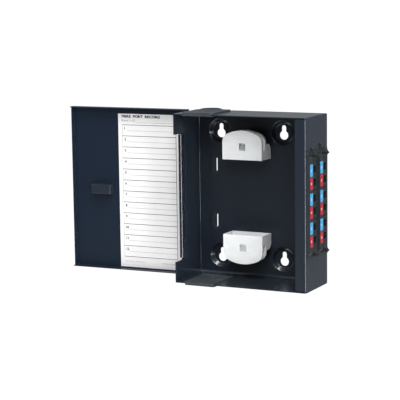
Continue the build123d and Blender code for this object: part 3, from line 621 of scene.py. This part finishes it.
def print_text(name, words, start_x, middle_z, height, material, width=None, weight=0.0):
    """Words that run right from start_x, stretched to the width if one is given."""
    mesh = letters(name, words, weight)
    low, high = box_of([v.co for v in mesh.vertices])
    scale_z = height / (high.y - low.y)
    scale_x = width / (high.x - low.x) if width else scale_z
    middle = (high.y + low.y) / 2
    for v in mesh.vertices:
        x = start_x - (v.co.x - low.x) * scale_x
        z = middle_z + (v.co.y - middle) * scale_z
        v.co = OPEN @ Vector((x, LABEL_FACE + INK_THICKNESS, z))
    thicken(mesh)
    piece(name, mesh, "door", material)


def print_label():
    """The lines, the heading, the rows' numbers and the small print at the foot."""
    print_rules()
    print_text(
        "chart_heading", "FIBRE  PORT  RECORD", CHART_LEFT + HEADING_OUTDENT, CHART_TOP + HEADING_RISE,
        height=3.7 * MM, width=57.5 * MM, weight=0.045, material=INK_BLACK,
    )
    print_text(
        "chart_subheading", "Rows 1-12", CHART_LEFT + HEADING_OUTDENT, CHART_TOP + SUBHEADING_RISE,
        height=3.0 * MM, width=19.7 * MM, weight=0.010, material=INK_GREY,
    )
    for row in range(ROWS):
        number = str(row + 1)
        print_text(
            "chart_number_" + number, number, CHART_LEFT - NUMBER_INDENT,
            CHART_TOP - row * ROW_PITCH - NUMBER_DROP, height=3.6 * MM, weight=0.030, material=INK_BLACK,
        )
    foot = CHART_BOTTOM - FOOTER_DROP
    print_text(
        "chart_footer_left", "fill in for each port", CHART_LEFT - LEFT_FOOTER_INDENT, foot,
        height=2.2 * MM, width=29.9 * MM, material=INK_GREY,
    )
    print_text(
        "chart_footer_right", "sheet one", CHART_RIGHT + RIGHT_FOOTER_REACH, foot,
        height=1.9 * MM, width=19.0 * MM, material=INK_GREY,
    )


# ---- Marks on the port icons --------------------------------------------
def solids(node):
    """The box of each separate solid in a CAD node, sorted front to back and top down."""
    bm = bmesh.new()
    bm.from_mesh(nodes[node].data)
    bmesh.ops.remove_doubles(bm, verts=bm.verts, dist=WELD_GAP)
    left = set(bm.verts)
    found = []
    while left:
        stack = [left.pop()]
        group = []
        while stack:
            v = stack.pop()
            group.append(v.co.copy())
            for edge_wear_and_highlight in v.link_edges:
                other = edge_wear_and_highlight.other_vert(v)
                if other in left:
                    left.remove(other)
                    stack.append(other)
        found.append(box_of(group))
    bm.free()
    return sorted(found, key=lambda pair: (round(pair[0].y, 4), -round(pair[0].z, 4)))


def ring(bm, x0, x1, centre_y, centre_z, inner, outer):
    """A flat ring from x0 to x1, or a disc if inner is 0, facing +X."""
    turns = [2 * math.pi * i / MARK_STEPS for i in range(MARK_STEPS)]

    def loop(radius, x):
        places = [(x, centre_y + radius * math.cos(t), centre_z + radius * math.sin(t)) for t in turns]
        return [bm.verts.new(place) for place in places]

    rim0, rim1 = loop(outer, x0), loop(outer, x1)
    pairs = [(rim0, rim1)]
    if inner:
        hole0, hole1 = loop(inner, x0), loop(inner, x1)
        pairs += [(hole1, hole0), (rim1, hole1), (hole0, rim0)]
    else:
        bm.faces.new(rim1)
        bm.faces.new(list(reversed(rim0)))
    for a, b in pairs:
        for i in range(MARK_STEPS):
            j = (i + 1) % MARK_STEPS
            bm.faces.new((a[i], a[j], b[j], b[i]))


def icon_marks():
    """A small pale socket sign, ring and dot, on every port icon."""
    bm = bmesh.new()
    for node in ("port_icons_blue", "port_icons_red"):
        for low, high in solids(node):
            x0 = high.x + MARK_LIFT
            centre_y = low.y + MARK_SHARE * (high.y - low.y)
            centre_z = (low.z + high.z) / 2
            for inner, outer in MARK_RINGS:
                ring(bm, x0, x0 + MARK_THICKNESS, centre_y, centre_z, inner, outer)
    mesh = bpy.data.meshes.new("icon_marks")
    bmesh.ops.recalc_face_normals(bm, faces=bm.faces)
    bm.to_mesh(mesh)
    bm.free()
    piece("icon_marks", mesh, "enclosure", MARK_PALE)


# ---- Floor, lights and sky ----------------------------------------------
def make_floor():
    """A round pale floor under the box."""
    bm = bmesh.new()
    bmesh.ops.create_circle(bm, cap_ends=True, segments=FLOOR_SIDES, radius=FLOOR_RADIUS)
    mesh = bpy.data.meshes.new("floor")
    bm.to_mesh(mesh)
    bm.free()
    floor = bpy.data.objects.new("floor", mesh)
    floor.location = (0.0, 0.0, cad_low.z - FLOOR_DROP)
    mesh.materials.append(FLOOR_PAINT)
    bpy.context.scene.collection.objects.link(floor)


def area_light(name, place, size, power):
    """A rectangular soft box, turned to the aim that all of them share."""
    data = bpy.data.lights.new(name, "AREA")
    data.shape = "RECTANGLE"
    data.size, data.size_y = size
    data.energy = power
    light = bpy.data.objects.new(name, data)
    light.location = place
    light.rotation_euler = (Vector(LIGHT_AIM) - Vector(place)).to_track_quat("-Z", "Y").to_euler()
    bpy.context.scene.collection.objects.link(light)


def make_world():
    """A dim pale sky that lights the box, and plain white where the camera sees past the box."""
    world = bpy.data.worlds.new("studio")
    bpy.context.scene.world = world
    world.use_nodes = True
    tree = world.node_tree
    tree.nodes.clear()
    coords = tree.nodes.new("ShaderNodeTexCoord")
    split = tree.nodes.new("ShaderNodeSeparateXYZ")
    tree.links.new(coords.outputs["Generated"], split.inputs[0])

    def ramp(axis, start, end, low, high):
        made = tree.nodes.new("ShaderNodeMapRange")
        made.interpolation_type = "SMOOTHSTEP"
        tree.links.new(split.outputs[axis], made.inputs["Value"])
        made.inputs["From Min"].default_value = start
        made.inputs["From Max"].default_value = end
        made.inputs["To Min"].default_value = low
        made.inputs["To Max"].default_value = high
        return made.outputs["Result"]

    def add(a, b):
        made = tree.nodes.new("ShaderNodeMath")
        made.operation = "ADD"
        tree.links.new(a, made.inputs[0])
        tree.links.new(b, made.inputs[1])
        return made.outputs[0]

    sky = tree.nodes.new("ShaderNodeBackground")
    sky.inputs["Color"].default_value = (*SKY_TINT, 1.0)
    brightness = add(add(ramp(**SKY_BEHIND), ramp(**SKY_ABOVE)), ramp(**SKY_SIDE))
    tree.links.new(brightness, sky.inputs["Strength"])
    backdrop = tree.nodes.new("ShaderNodeBackground")
    backdrop.inputs["Color"].default_value = (*BACKDROP_WHITE, 1.0)
    backdrop.inputs["Strength"].default_value = BACKDROP_STRENGTH
    path = tree.nodes.new("ShaderNodeLightPath")
    choose = tree.nodes.new("ShaderNodeMixShader")
    tree.links.new(path.outputs["Is Camera Ray"], choose.inputs[0])
    tree.links.new(sky.outputs[0], choose.inputs[1])
    tree.links.new(backdrop.outputs[0], choose.inputs[2])
    out = tree.nodes.new("ShaderNodeOutputWorld")
    tree.links.new(choose.outputs[0], out.inputs["Surface"])


# ---- The scene ----------------------------------------------------------
make_camera()
dress_cad_nodes()
print_label()
icon_marks()
make_floor()
make_world()
for light_name, light_values in LIGHTS.items():
    area_light(light_name, **light_values)
bpy.context.scene.view_settings.view_transform = "Standard"
bpy.context.scene.view_settings.look = "None"
